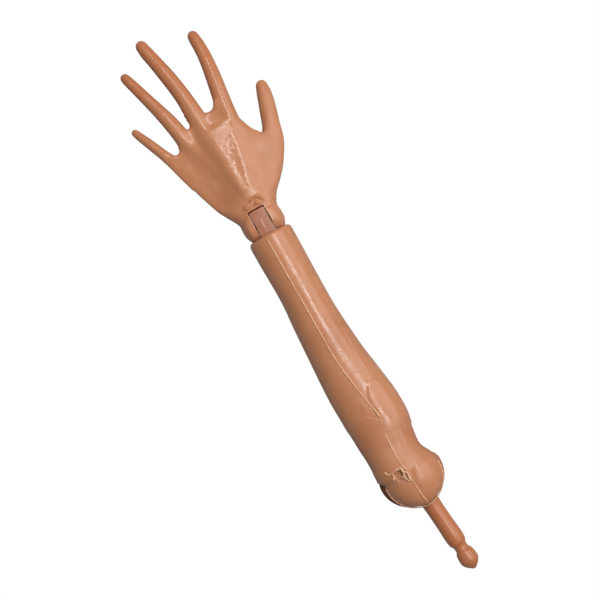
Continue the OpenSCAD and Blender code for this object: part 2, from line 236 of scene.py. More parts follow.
def follow(table, xs):
    """Smooth curves through the rows of a table, whose first column is the distance."""
    rows = np.array(table, float)
    x, v = rows[:, 0], rows[:, 1:]
    slope = np.gradient(v, x, axis=0)
    out = []
    for q in xs:
        i = int(np.clip(np.searchsorted(x, q) - 1, 0, len(x) - 2))
        h = x[i + 1] - x[i]
        t = (q - x[i]) / h
        out.append(
            v[i] * (2 * t**3 - 3 * t**2 + 1)
            + slope[i] * h * (t**3 - 2 * t**2 + t)
            + v[i + 1] * (3 * t**2 - 2 * t**3)
            + slope[i + 1] * h * (t**3 - t**2)
        )
    return np.array(out)


# ---------------------------------------------------------------- mesh helpers


def at(x, turn=Matrix.Identity(4)):
    """A place on the wrist axis."""
    return Matrix.Translation((x, 0, 0)) @ turn


def oval(angle, squareness):
    c, s = math.cos(angle), math.sin(angle)
    p = 2 / squareness
    return math.copysign(abs(c) ** p, c), math.copysign(abs(s) ** p, s)


def loft(rings, sides):
    """Draws out one ring of edges through a row of places. Each place is a function of the angle."""
    bm = bmesh.new()
    step = bm.verts.layers.int.new("step")
    bmesh.ops.create_circle(bm, cap_ends=False, radius=1, segments=sides)
    bm.verts.ensure_lookup_table()
    for v in bm.verts:
        v[step] = round(math.atan2(v.co.y, v.co.x) / (2 * math.pi) * sides) % sides
    angles = [(i + 0.5) * 2 * math.pi / sides for i in range(sides)]
    for v in bm.verts:
        v.co = rings[0](angles[v[step]])
    edges = list(bm.edges)
    first = list(edges)
    for place in rings[1:]:
        made = bmesh.ops.extrude_edge_only(bm, edges=edges)["geom"]
        for v in made:
            if isinstance(v, bmesh.types.BMVert):
                v.co = place(angles[v[step]])
        edges = [e for e in made if isinstance(e, bmesh.types.BMEdge) and e.is_boundary]
    bmesh.ops.holes_fill(bm, edges=first + edges, sides=0)
    bmesh.ops.recalc_face_normals(bm, faces=bm.faces)
    return bm


def to_object(bm, name):
    mesh = bpy.data.meshes.new(name)
    bm.to_mesh(mesh)
    bm.free()
    obj = bpy.data.objects.new(name, mesh)
    bpy.context.scene.collection.objects.link(obj)
    return obj


def drop(*objects):
    for o in objects:
        mesh = o.data
        bpy.data.objects.remove(o)
        if mesh.users == 0:
            bpy.data.meshes.remove(mesh)


def settle(obj):
    """Puts the result of the object's modifiers into its mesh."""
    graph = bpy.context.evaluated_depsgraph_get()
    graph.update()
    mesh = bpy.data.meshes.new_from_object(obj.evaluated_get(graph))
    old = obj.data
    obj.modifiers.clear()
    obj.data = mesh
    bpy.data.meshes.remove(old)
    return obj


def combine(obj, tool, operation, keep=False):
    m = obj.modifiers.new("cut", "BOOLEAN")
    m.operation, m.solver, m.object = operation, "MANIFOLD", tool
    settle(obj)
    if not keep:
        drop(tool)
    return obj


def bevelled(obj, width, segments):
    m = obj.modifiers.new("edge", "BEVEL")
    m.width, m.segments = width, segments
    return settle(obj)


def copy_of(obj, name):
    other = obj.copy()
    other.data = obj.data.copy()
    other.name = name
    bpy.context.scene.collection.objects.link(other)
    return other


def remesh(obj, voxel, rounds, factor=0.5):
    m = obj.modifiers.new("skin", "REMESH")
    m.mode, m.voxel_size = "VOXEL", voxel
    m.adaptivity = 0.0
    if rounds:
        s = obj.modifiers.new("soften", "SMOOTH")
        s.factor, s.iterations = factor, rounds
    return settle(obj)


def coordinates(obj):
    n = len(obj.data.vertices)
    co, no = np.zeros(n * 3), np.zeros(n * 3)
    obj.data.vertices.foreach_get("co", co)
    obj.data.vertices.foreach_get("normal", no)
    return co.reshape(-1, 3), no.reshape(-1, 3)


def push(obj, amount):
    """Moves each vertex along its normal by the amount, in millimetres."""
    co, no = coordinates(obj)
    co = co + no * np.asarray(amount)[:, None]
    obj.data.vertices.foreach_set("co", co.ravel())
    obj.data.update()


def block(size, place):
    bm = bmesh.new()
    bmesh.ops.create_cube(bm, size=1, matrix=place @ Matrix.Diagonal((*size, 1)))
    return to_object(bm, "tool")


def rod(radius, length, place, segments=64):
    bm = bmesh.new()
    bmesh.ops.create_cone(
        bm, cap_ends=True, segments=segments, radius1=radius, radius2=radius, depth=length,
        matrix=place,
    )
    return to_object(bm, "tool")


def ball(radius, place, segments=96):
    bm = bmesh.new()
    bmesh.ops.create_uvsphere(
        bm, u_segments=segments, v_segments=segments // 2, radius=radius, matrix=place
    )
    return to_object(bm, "tool")


def slab(outline, low, high):
    """A flat sheet with the given outline, drawn up to a thickness."""
    bm = bmesh.new()
    verts = [bm.verts.new((x, y, low)) for x, y in outline]
    face = bm.faces.new(verts)
    made = bmesh.ops.extrude_face_region(bm, geom=[face])["geom"]
    upper = [v for v in made if isinstance(v, bmesh.types.BMVert)]
    bmesh.ops.translate(bm, vec=(0, 0, high - low), verts=upper)
    bmesh.ops.recalc_face_normals(bm, faces=bm.faces)
    return to_object(bm, "tool")


def turned(profile, place, steps=96):
    """Spins a profile of (distance, radius) about its axis; the axis is local Z."""
    bm = bmesh.new()
    verts = [bm.verts.new((r, 0, d)) for d, r in profile]
    edges = [bm.edges.new(pair) for pair in zip(verts, verts[1:])]
    bmesh.ops.spin(
        bm, geom=verts + edges, cent=(0, 0, 0), axis=(0, 0, 1), angle=2 * math.pi, steps=steps,
        use_merge=True,
    )
    bmesh.ops.remove_doubles(bm, verts=bm.verts, dist=1e-4)
    bmesh.ops.recalc_face_normals(bm, faces=bm.faces)
    bmesh.ops.transform(bm, matrix=place, verts=bm.verts)
    return bm


def finished(obj, name, place, smooth_angle=40):
    """Stands a piece made in millimetres in the row frame, in metres, with its object at the origin."""
    obj.data.transform(Matrix.Diagonal((MM, MM, MM, 1)) @ place)
    obj.name = obj.data.name = name
    bm = bmesh.new()
    bm.from_mesh(obj.data)
    bmesh.ops.remove_doubles(bm, verts=bm.verts, dist=1e-7)
    bm.to_mesh(obj.data)
    bm.free()
    obj.data.shade_smooth()
    obj.data.set_sharp_from_angle(angle=math.radians(smooth_angle))
    return obj


def note(obj, title, amount):
    """Keeps a number on each vertex for the material: how much painted shade it gets in a cut or on a
    finger, or how matte it is.
    """
    layer = obj.data.attributes.new(title, "FLOAT", "POINT")
    layer.data.foreach_set("value", np.asarray(amount, np.float32))


def lumps(co, size, seed):
    """Soft repeating-free waves over a surface, about -1 to 1, from sums of turned sines."""
    rng = np.random.default_rng(seed)
    total = np.zeros(len(co))
    for octave in range(4):
        for _ in range(5):
            axis = rng.normal(size=3)
            axis /= np.linalg.norm(axis)
            wave = size * rng.uniform(0.7, 1.4)
            total += np.sin(co @ axis * 2 * math.pi / wave + rng.uniform(0, 7)) / 2**octave
        size *= 0.5
    return total / 5


def near_line(co, line):
    """Distance in plan from each point to a bent line, and how far along it the nearest place is."""
    pts = np.array(line, float)
    best = np.full(len(co), 1e9)
    along = np.zeros(len(co))
    run = 0.0
    for a, b in zip(pts, pts[1:]):
        d = b - a
        length = np.linalg.norm(d)
        t = np.clip(((co[:, :2] - a) @ d) / length**2, 0, 1)
        gap = np.linalg.norm(co[:, :2] - (a + t[:, None] * d), axis=1)
        closer = gap < best
        best = np.where(closer, gap, best)
        along = np.where(closer, run + t * length, along)
        run += length
    return best, along / run


def ridge(co, line, width, fade=0.15):
    """1 on a bent line, falling to 0 at the width and at the line's two ends."""
    gap, along = near_line(co, line)
    return np.exp(-((gap / width) ** 2)) * ease(0, fade, along) * ease(0, fade, 1 - along)


# ---------------------------------------------------------------- the forearm's skin


def forearm_ring(x, right, left, depth, squareness, low_right=0.0, low_left=0.0, low_back=0.0):
    """One ring of the forearm. Its lower half may be wider than its upper half."""

    def place(angle):
        c, s = oval(angle, squareness)
        z = s * depth
        low = 1 - float(ease(-ELBOW_SLOT_HALF, ELBOW_SLOT_HALF, z))
        r, l = right - low_right * low, left + low_left * low
        return x - low_back * low, (l + r) / 2 + c * (l - r) / 2, z

    return place


def forearm_body(sides, step):
    """The whole outside of the forearm, from the elbow's ears to the wrist's rim."""
    ear_x, ear_y = EAR_MIDDLE
    rings = []
    for f in EAR_STEPS:
        q = max(0.08, math.sqrt(1 - f * f))
        depth = HALF_DEPTH * (1 - (abs(f) / 1.06) ** 3) ** (1 / 3)
        right, left = ear_y - ELBOW_R * q, ear_y + ELBOW_R * q
        low_right = LOW_EAR_SPREAD * q**0.5 - LOW_EAR_SHIFT
        low_left = LOW_EAR_SPREAD * q + LOW_EAR_SHIFT
        low_back = LOW_EAR_BACK * max(0, -f)
        place = (ear_x + f * ELBOW_R, right, left, depth, EAR_SQUARENESS)
        rings.append(forearm_ring(*place, low_right, low_left, low_back))
    for x in (0.3, 0.5, 0.7, 0.9):
        q = math.sqrt(1 - ((x - ear_x) / ELBOW_R) ** 2)
        notch = float(ease(0.4, 1.05, x))
        left = between(ear_y + ELBOW_R * q, 3.56, notch)
        low_left = between(LOW_EAR_SPREAD * q + LOW_EAR_SHIFT, 0.1, notch)
        low_right = between(LOW_EAR_SPREAD - LOW_EAR_SHIFT, 0.38, ease(0.1, 1.0, x))
        place = (x, ear_y - ELBOW_R * q, left, HALF_DEPTH, EAR_SQUARENESS)
        rings.append(forearm_ring(*place, low_right, low_left))
    xs = np.concatenate([np.arange(1.1, 36.3, step), [36.4]])
    for x, row in zip(xs, follow(FOREARM_TABLE, xs)):
        rings.append(forearm_ring(x, *row))
    for a in np.radians((12, 24, 36, 48, 60, 72, 82, 90)):
        r = WRIST_R - RIM_ROUND * (1 - math.cos(a))
        x = FOREARM_LENGTH - RIM_ROUND * (1 - math.sin(a))
        rings.append(forearm_ring(x, -r, r, r, 2.0))
    return to_object(loft(rings, sides), "forearm_body")


# height, width, fading length, and the line
SKIN_RIDGES = [
    (0.05, 0.16, 0.2, [(7.9, -2.4), (7.3, -2.7), (6.5, -2.6), (4.4, -2.36), (2.5, -2.05)]),
    (0.04, 0.2, 0.3, [(9.75, 0.96), (9.56, 1.98), (8.76, 2.74)]),
    (0.035, 0.16, 0.3, [(12.6, 0.3), (10.9, 0.35), (9.6, 0.13)]),
]


def shape_forearm(obj):
    """The muscle, the ear's dome and the creases pressed into the skin."""
    co, _ = coordinates(obj)
    x, y, z = co.T
    top = ease(0.5, 1.6, z)
    # the muscle: a crisp edge at its wrist end and beside the seam, fading towards the thumb side
    middle = np.interp(x, [6.0, 8.0, 10.5, 12.5, 13.8], [-2.9, -2.75, -2.6, -2.5, -2.45])
    half = np.interp(x, [5.5, 8.0, 9.5, 11.2, 12.4, 13.2, 13.75], [1.1, 1.5, 1.75, 1.75, 1.5, 0.95, 0.05])
    inside = half - np.abs(y - middle)
    muscle = ease(-0.06, 0.1, inside) * ease(7.5, 10.5, x) * (0.45 + 0.55 * ease(-4.4, -2.6, y))
    muscle *= 1 - 0.35 * ease(0.5, 1.6, inside)
    amount = 0.1 * muscle * top
    groove = [(9.2, -0.9), (10.5, -0.82), (11.79, -0.84), (12.4, -0.93), (13.2, -1.5)]
    amount -= 0.03 * top * ridge(co, groove, 0.1, 0.2)
    # the pressed band between the second seam line and the ridge, down to the ear
    band = ease(2.2, 3.6, x) * (1 - ease(6.4, 7.2, x)) * ease(-2.5, -2.2, y) * (1 - ease(-0.6, -0.4, y))
    amount -= 0.045 * band * top
    for height, width, fade, line in SKIN_RIDGES:
        amount += height * top * ridge(co, line, width, fade)
    # the ear's dome stands a little over the forearm, with an edge along the seam
    edge = np.interp(x, [-5.0, -3.3, -0.5, 0.6, 1.4, 2.2], [-1.1, -0.92, -0.75, -1.25, -1.9, -3.2])
    reach = np.hypot(x + 0.5, y + 1.9)
    dome = ease(-0.35, 0.5, edge - y) * (1 - ease(1.2, 2.4, x))
    amount += top * dome * (0.03 + 0.18 * np.exp(-((reach / 1.9) ** 2)))
    amount += 0.012 * lumps(co, 5.0, 3) + 0.005 * lumps(co, 1.4, 4)
    # torn lips stand up a little round the tear
    gap, _ = near_line(co, TORN_EDGE + TORN_EDGE[:1])
    lip = np.exp(-((gap / 0.2) ** 2)) * (0.6 + 0.7 * lumps(co, 0.6, 9))
    amount += 0.07 * lip * top
    push(obj, amount)


def peg_slot():
    """The room that the peg's disc swings in."""
    turn = Matrix.Rotation(SLOT_TURN, 4, "Z")
    return block((20, 40, 2 * ELBOW_SLOT_HALF), ELBOW @ turn @ at(SLOT_FLOOR - 10))


def hollow(obj):
    """Cuts the peg's slot, the core's room and the wrist's cup out of the skin."""
    room = [
        (0, -ELBOW_OFFSET - CORE_EAR_R), (1.2, -2.7), (2.2, -2.0), (7, -1.9), (10.03, -1.43),
        (10.03, 1.43), (7, 1.9), (0, -ELBOW_OFFSET + CORE_EAR_R),
    ]
    bar = 28.3
    for tool in (
        peg_slot(),
        rod(CORE_EAR_R, 2 * CORE_EAR_TOP, ELBOW),
        slab(room, -CORE_EAR_TOP, CORE_EAR_TOP),
        rod(CORE_BAR_R, bar, at(CORE_BAR_START + bar / 2, ALONG)),
        ball(CUP_R, at(WRIST_X, ALONG)),
    ):
        combine(obj, tool, "DIFFERENCE")


def seam_y(x):
    pts = np.array(SEAM_LINE)
    return float(np.interp(x, pts[:, 0], pts[:, 1]))


def strip(path, radii, sides=8):
    """A fine thread of changing thickness along points in space."""
    pts = [Vector(p) for p in path]
    rings = []
    for i, p in enumerate(pts):
        ahead = (pts[min(i + 1, len(pts) - 1)] - pts[max(i - 1, 0)]).normalized()
        side = Vector((0, 0, 1)).cross(ahead).normalized()
        up = ahead.cross(side)

        def place(angle, p=p, side=side, up=up, r=radii[i]):
            return p + side * (math.cos(angle) * r) + up * (math.sin(angle) * r)

        rings.append(place)
    return loft(rings, sides)


def gather(parts, name):
    """Joins several loose meshes into one object."""
    bm = bmesh.new()
    for part in parts:
        mesh = bpy.data.meshes.new("part")
        part.to_mesh(mesh)
        part.free()
        bm.from_mesh(mesh)
        bpy.data.meshes.remove(mesh)
    return to_object(bm, name)


def on_surface(tree, x, y, above, under=False):
    side = -1 if under else 1
    place, normal, *_ = tree.ray_cast(Vector((x, y, 20 * side)), Vector((0, 0, -side)))
    return None if place is None else place + normal * above


def thread(tree, line, half, lift, rng, rough, under=False, taper=4):
    """A thread laid on a surface along a line of points in plan."""
    pts = np.array(line, float)
    t = np.concatenate([[0], np.cumsum(np.linalg.norm(np.diff(pts, axis=0), axis=1))])
    steps = np.arange(0, t[-1], 0.07 if half < 0.1 else 0.1)
    xs, ys = follow(np.column_stack([t, pts]), steps).T
    wobble = np.convolve(rng.normal(size=len(xs) + 6), np.ones(7) / 7, "valid")
    path, radii = [], []
    for i, (x, y) in enumerate(zip(xs, ys)):
        end = min(1.0, (i + 1) / taper, (len(xs) - i) / taper)
        r = half * (0.25 + 0.75 * end) * (1 + rough * wobble[i])
        p = on_surface(tree, x, y + 0.3 * half * rough * wobble[i], lift + 0.15 * r, under)
        if p is not None and (not path or (p - path[-1]).length > 0.02):
            path.append(p)
            radii.append(max(r, 0.015))
    return strip(path, radii, 8) if len(path) > 3 else None


def seam_flash_and_rim_highlight(tree):
    """The fine raised line left where the mould's halves met, and a pale strip along the ear's edge that
    is a painted highlight.
    """
    rng = np.random.default_rng(21)
    parts = []
    for x0, x1, half in FLASH_STRIPS:
        line = [(x, seam_y(x)) for x in np.append(np.arange(x0, x1, 1.0), x1)]
        parts.append(thread(tree, line, half, 0.0, rng, 0.5, taper=12))
    line = [(x, seam_y(x)) for x in np.arange(-3.8, 37.3, 1.0)]
    parts.append(thread(tree, line, 0.05, 0.0, rng, 0.4, under=True, taper=12))
    for half, line in MOULD_LINES:
        parts.append(thread(tree, line, half, -0.2 * half, rng, 0.4, taper=8))
    # painted highlight: a pale strip along the lower edge of the upper ear, standing in for the light
    # that the ear's rounded rim catches
    ear_x, ear_y = EAR_MIDDLE
    ring = []
    for a in np.radians(np.arange(-84, 232, 3)):
        x, y = ear_x - ELBOW_R * math.sin(a), ear_y - ELBOW_R * math.cos(a)
        start = Vector((x * 1.6, (y - ear_y) * 1.6 + ear_y, ELBOW_SLOT_HALF + 0.12))
        way = (Vector((ear_x, ear_y, start.z)) - start).normalized()
        hit = tree.ray_cast(start, way)[0]
        if hit is not None and x < 0.3:
            ring.append(hit - way * (0.03 + 0.1 * max(0, (ear_x - x) / ELBOW_R)))
    parts.append(strip(ring, [0.075 + 0.01 * math.sin(i * 1.7) for i in range(len(ring))]))
    return gather([p for p in parts if p], "seam_flash_and_rim_highlight")


def tear_flash(tree):
    """The curled threads of vinyl round the tear."""
    rng = np.random.default_rng(5)
    parts = [thread(tree, line, 1.3 * half, 0.03, rng, 0.8) for half, line in TEAR_THREADS]
    return gather([p for p in parts if p], "tear_flash")


# ---------------------------------------------------------------- the hand


def palm_ring(x, right, left, back, palm, squareness):
    def place(angle):
        c, s = oval(angle, squareness)
        return x, (left + right) / 2 + c * (left - right) / 2, s * (back if s > 0 else palm)

    return place


def finger_rings(rows, depth=1.0):
    """Rings square to the finger's bent middle line, closed by a rounded tip."""
    table = np.array(rows, float)
    # the lower a finger hangs, the smaller it looks from above, so it is drawn that much larger
    grow = 1 - table[:, 3:] / LENS_HEIGHT
    table[:, :2] = VIEW_MIDDLE + (table[:, :2] - VIEW_MIDDLE) * grow
    table[:, 2:3] *= grow
    way = np.concatenate([[0], np.cumsum(np.linalg.norm(np.diff(table[:, [0, 1, 3]], axis=0), axis=1))])
    steps = np.arange(0, way[-1], 0.35)
    steps = np.append(steps, way[-1])
    line = follow(np.column_stack([way, table]), steps)
    rings = []
    for i, (x, y, width, z) in enumerate(line):
        ahead = line[min(i + 1, len(line) - 1)] - line[max(i - 1, 0)]
        ahead = Vector((ahead[0], ahead[1], ahead[3])).normalized()
        rings.append((Vector((x, y, z)), ahead, width / 2))
    centre, ahead, half = rings[-1]
    for a in np.radians((15, 30, 45, 58, 70, 80, 87)):
        rings.append((centre + ahead * half * 1.08 * math.sin(a), ahead, half * math.cos(a)))
    out = []
    for centre, ahead, half in rings:
        side = Vector((0, 0, 1)).cross(ahead).normalized()
        up = ahead.cross(side)

        def place(angle, centre=centre, side=side, up=up, half=half):
            return centre + side * (half * math.cos(angle)) + up * (half * depth * math.sin(angle))

        out.append(place)
    return out


def web_plate(x, y, r, opening, half, height):
    """A plate that fills the fork between two fingers up to a round hollow of radius r."""
    ahead = np.array([math.cos(opening), math.sin(opening)])
    side = np.array([-ahead[1], ahead[0]])
    middle = np.array([x, y]) + ahead * r
    outline = [
        middle - ahead * r * math.cos(a) + side * r * math.sin(a) for a in np.linspace(-1.5, 1.5, 25)
    ]
    wide, deep = side * (r + 0.5), ahead * (r + 1.6)
    outline += [middle + wide, middle - deep + wide, middle - deep - wide, middle - wide]
    plate = slab(outline, height - half, height + half)
    bm = bmesh.new()
    bm.from_mesh(plate.data)
    drop(plate)
    return bm


def hand_body(voxel):
    xs = np.concatenate([np.arange(38.95, 53.4, 0.3), [53.6]])
    rings = [palm_ring(x, *row) for x, row in zip(xs, follow(PALM_TABLE, xs))]
    parts = [loft(rings, 64)]
    for rows in FINGERS.values():
        parts.append(loft(finger_rings(rows), 32))
    for x, y, z, r in WEB_PADS:
        pad, place = bmesh.new(), Matrix.Translation((x, y, z))
        bmesh.ops.create_uvsphere(pad, u_segments=24, v_segments=16, radius=r, matrix=place)
        parts.append(pad)
    for x, y, r, opening, half, z in WEBS:
        parts.append(web_plate(x, y, r, math.radians(opening), half, z))
    hand = gather(parts, "hand_body")
    base = ball(BALL_R, at(WRIST_X))
    barrel = rod(BASE_HALF, 8, at(WRIST_X, ACROSS))
    front = block((3, 8, 2 * BASE_HALF), at(WRIST_X + 1.5))
    combine(barrel, front, "UNION")
    combine(base, barrel, "INTERSECT")
    bm = bmesh.new()
    bm.from_mesh(hand.data)
    bm.from_mesh(base.data)
    drop(hand, base)
    body = remesh(to_object(bm, "hand_body"), voxel, 14)
    # the knuckles run softly into the palm
    co, _ = coordinates(body)
    gaps = [np.hypot(co[:, 0] - x + 1.0, co[:, 1] - y) for x, y, *_ in WEBS]
    near = np.max([np.exp(-((gap / 2.3) ** 2)) for gap in gaps], axis=0)
    near *= ease(0.15, 0.6, np.abs(co[:, 2] + 0.2))
    group = body.vertex_groups.new(name="webs")
    for i in np.flatnonzero(near > 0.05):
        group.add([int(i)], float(near[i]), "REPLACE")
    m = body.modifiers.new("webs", "SMOOTH")
    m.factor, m.iterations, m.vertex_group = 0.5, 130, "webs"
    return settle(body)


WEB_PADS = [
    (48.2, -5.4, -0.45, 1.1),
    (47.2, -5.6, -0.4, 1.6),
]
# the rounded webs between the fingers: the hollow's deepest place, its radius, the way it opens in
# degrees from the arm's length, half thickness, height of its middle
WEBS = [
    (55.25, -1.0, 1.05, 2, 1.05, -0.2),
    (54.6, 2.45, 0.5, 18, 0.95, -0.2),
    (52.4, 5.3, 0.55, 26, 0.85, -0.25),
    (49.35, -5.35, 0.85, -20, 1.05, -0.55),
]
TENDONS = [
    # centre line on the back of the hand, height, width
    ([(42.6, -0.5), (44.5, -0.95), (47.0, -1.6), (49.5, -2.15), (51.5, -2.6), (53.0, -2.9)], 0.09, 0.62),
    ([(42.8, 0.25), (45.0, 0.45), (48.0, 0.6), (50.5, 0.55), (53.0, 0.75), (57.5, 1.0)], 0.04, 0.6),
    ([(46.0, 1.6), (49.0, 2.5), (52.0, 3.45), (56.0, 4.25)], 0.05, 0.6),
    ([(45.0, 2.4), (47.2, 4.0), (49.2, 5.4), (51.8, 6.55)], 0.04, 0.5),
]
# the raised wedge between the two main tendons: x, middle, half width
WEDGE = [
    (41.5, -0.1, 0.35), (43.5, -0.2, 0.55), (46.0, -0.35, 0.85), (48.5, -0.55, 1.15), (50.5, -0.75, 1.4),
    (52.0, -0.9, 1.55), (53.2, -0.95, 1.6),
]
HOLLOWS = [
    # x, y, reach along, reach across, depth: the dips beside the wedge and at the thumb's root
    (52.7, 2.4, 1.5, 0.75, 0.26),
    (50.6, 4.6, 1.8, 0.6, 0.08),
    (47.4, -4.2, 3.0, 1.1, 0.1),
    (47.5, 2.2, 3.2, 0.9, 0.08),
]
SLOT_LIP = [(41.35, 1.5), (41.62, 0.8), (41.68, 0.0), (41.5, -0.8), (41.1, -1.3)]
SLOT_CURL = [(42.0, 0.3), (42.35, -0.4), (42.3, -1.0), (41.9, -1.45), (41.2, -1.5)]
SLOT_FURROW = [(41.95, 0.6), (42.0, -0.2), (41.85, -0.85), (41.5, -1.2)]
PALM_CREASES = [
    [(49.5, -3.9), (48.2, -2.0), (46.0, -0.9), (43.2, -0.9)],
    [(50.0, -3.6), (49.0, -0.5), (48.6, 2.2), (49.2, 4.6)],
    [(51.2, -1.4), (50.8, 1.4), (50.4, 3.8), (49.9, 5.6)],
]
# the palm's two pads and the hollow between them: height, x, reach along, y, reach across
PALM_PADS = [(0.28, 45.6, 2.6, -4.0, 1.9), (0.16, 44.6, 2.8, 3.2, 1.5), (-0.25, 47.4, 2.4, 0.2, 2.0)]
# where each finger's joints are, along the arm
KNUCKLES = {
    "index": (58.6, 61.8),
    "middle": (59.4, 63.4),
    "ring": (58.2, 61.4),
    "little": (52.9, 55.2),
    "thumb": (51.6,),
}


def shape_hand(obj):
    """Tendons, dips, the lip over the wrist slot, knuckles, creases and moulding marks."""
    co, _ = coordinates(obj)
    x, y, z = co.T
    rows = np.array(WEDGE)
    middle, half = np.interp(x, rows[:, 0], rows[:, 1]), np.interp(x, rows[:, 0], rows[:, 2])
    # the back of the hand slopes away from the tendons to both sides
    sink = 0.3 * ease(-0.4, 3.6, middle - half - y) + 0.6 * ease(-0.6, 3.8, y - middle - half)
    sink *= ease(41.0, 44.0, x) * (1 - ease(50.0, 54.5, x))
    co[:, 2] = np.where(z > 0, z * (1 - sink), z)
    obj.data.vertices.foreach_set("co", co.ravel())
    obj.data.update()
    co, no = coordinates(obj)
    x, y, z = co.T
    back = ease(0.15, 0.75, no[:, 2])
    front = ease(0.15, 0.75, -no[:, 2])
    amount = np.zeros(len(co))
    for line, height, width in TENDONS:
        amount += height * back * ridge(co, line, width, 0.12)
    for cx, cy, along, across, depth in HOLLOWS:
        amount -= depth * back * np.exp(-(((x - cx) / along) ** 2) - ((y - cy) / across) ** 2)
    # the wedge between the two main tendons leans towards the thumb, whose side slopes away from it
    place = (y - middle) / half
    reach = ease(41.6, 43.5, x) * (1 - ease(51.0, 53.6, x)) * back
    wedge = (1 - ease(0.8, 1.25, np.abs(place))) * reach
    lean = (0.06 + 0.08 * ease(50, 45, x)) * np.tanh(place) * half
    amount += reach * (0.04 + lean) * (1 - ease(0.6, 2.2, place))
    # pits, mostly beside the tendon that leads to the index finger
    side = np.exp(-(((place + 0.6) / 0.55) ** 2))
    amount -= 0.1 * wedge * (0.25 + 0.75 * side) * np.clip(lumps(co, 0.7, 12) - 0.3, 0, 0.7)
    amount += 0.012 * wedge * lumps(co, 0.6, 18)
    # the lumpy lip of flash that stands over the end of the slot
    amount += 0.34 * back * ridge(co, SLOT_LIP, 0.26) * (0.8 + 0.6 * lumps(co, 0.8, 11))
    amount += 0.26 * back * ridge(co, SLOT_CURL, 0.17)
    amount -= 0.12 * back * ridge(co, SLOT_FURROW, 0.12)
    # thin lips along both sides of the slot
    for side in (-1, 1):
        lip = np.exp(-(((y - side * 1.32) / 0.13) ** 2))
        amount += 0.05 * back * lip * ease(38.0, 38.8, x) * (1 - ease(40.9, 41.3, x))
    # knuckle swellings on the back, folds on the palm side
    for name, places in KNUCKLES.items():
        rows = np.array(FINGERS[name])
        for kx in places:
            ky = np.interp(kx, rows[:, 0], rows[:, 1])
            ahead = np.array([0.4, np.interp(kx + 0.4, rows[:, 0], rows[:, 1]) - ky])
            ahead /= np.linalg.norm(ahead)
            run = (x - kx) * ahead[0] + (y - ky) * ahead[1]
            off = -(x - kx) * ahead[1] + (y - ky) * ahead[0]
            local = np.exp(-((off / 1.5) ** 4))
            amount += 0.045 * back * local * np.exp(-((run / 0.7) ** 2))
            amount -= 0.06 * front * local * np.exp(-((run / 0.16) ** 2))
    for line in PALM_CREASES:
        amount -= 0.09 * front * ridge(co, line, 0.16, 0.1)
    for height, cx, along, cy, across in PALM_PADS:
        amount += height * front * np.exp(-(((x - cx) / along) ** 2) - ((y - cy) / across) ** 2)
    # ragged flash beside the root of the middle finger and in the thumb's web
    ragged = np.exp(-(((x - 55.9) / 1.3) ** 2) - ((y - 2.2) / 0.35) ** 2 - (z / 0.5) ** 2)
    amount += 0.14 * ragged * np.clip(lumps(co, 0.75, 31) + 0.35, 0, 1)
    ragged = np.exp(-(((x - 49.8) / 0.45) ** 2) - ((y + 5.5) / 0.7) ** 2)
    amount += 0.09 * ragged * np.clip(lumps(co, 0.6, 33) + 0.2, 0, 1)
    amount += 0.01 * lumps(co, 4.0, 14) + 0.003 * lumps(co, 1.1, 15)
    push(obj, amount * ease(37.4, 38.2, x))


def cut_wrist(obj):
    """The slot for the tongue, the room it swings in and the pin's bore."""
    width = 2 * (TONGUE_HALF + SLOT_GAP)
    length = 2 * BALL_R + TONGUE_R + SLOT_GAP
    middle = WRIST_X - 2 * BALL_R + length / 2
    bm = bmesh.new()
    place = at(middle, Matrix.Diagonal((length, width, 12, 1)))
    bmesh.ops.create_cube(bm, size=1, matrix=place)
    ends = [[v.co for v in e.verts] for e in bm.edges]
    upright = [
        e for e, (a, b) in zip(bm.edges, ends) if abs(a.z - b.z) > 1 and a.x > middle
    ]
    bmesh.ops.bevel(
        bm, geom=upright, offset=0.22, segments=5, profile=0.5, affect="EDGES", material=-1
    )
    combine(obj, to_object(bm, "tool"), "DIFFERENCE")
    combine(obj, rod(TONGUE_SWEEP, width + 0.01, at(WRIST_X, ACROSS), 96), "DIFFERENCE")
    combine(obj, rod(WRIST_PIN_R, 12, at(WRIST_X, ACROSS), 48), "DIFFERENCE")


def core_body():
    """The stiff core under the skins: elbow fork, bar and the socket of the wrist's stem."""
    body = rod(CORE_EAR_R - CORE_GAP, 2 * (CORE_EAR_TOP - CORE_GAP), ELBOW)
    fork = [
        (0, -ELBOW_OFFSET - CORE_EAR_R + 0.1), (1.2, -2.6), (2.2, -1.9), (7, -1.8), (10, -1.4),
        (10, 1.4), (7, 1.8), (0, -ELBOW_OFFSET + CORE_EAR_R - 0.1),
    ]
    bar = 28.2
    low, high = CORE_GAP - CORE_EAR_TOP + 0.01, CORE_EAR_TOP - CORE_GAP - 0.01
    combine(body, slab(fork, low, high), "UNION")
    combine(body, rod(CORE_BAR_R - CORE_GAP, bar, at(CORE_BAR_START + bar / 2, ALONG)), "UNION")
    for tool in (
        peg_slot(),
        ball(CUP_R, at(WRIST_X, ALONG)),
        rod(STEM_R + PIN_CLEARANCE, SOCKET_LENGTH, at(SOCKET_MIDDLE, ALONG), 48),
        rod(BARB_ROOM_R, BARB_ROOM_LENGTH, at(BARB_ROOM_X, ALONG), 48),
        rod(ELBOW_PIN_R, 12, ELBOW, 48),
    ):
        combine(body, tool, "DIFFERENCE")
    return body


# ---------------------------------------------------------------- pegs


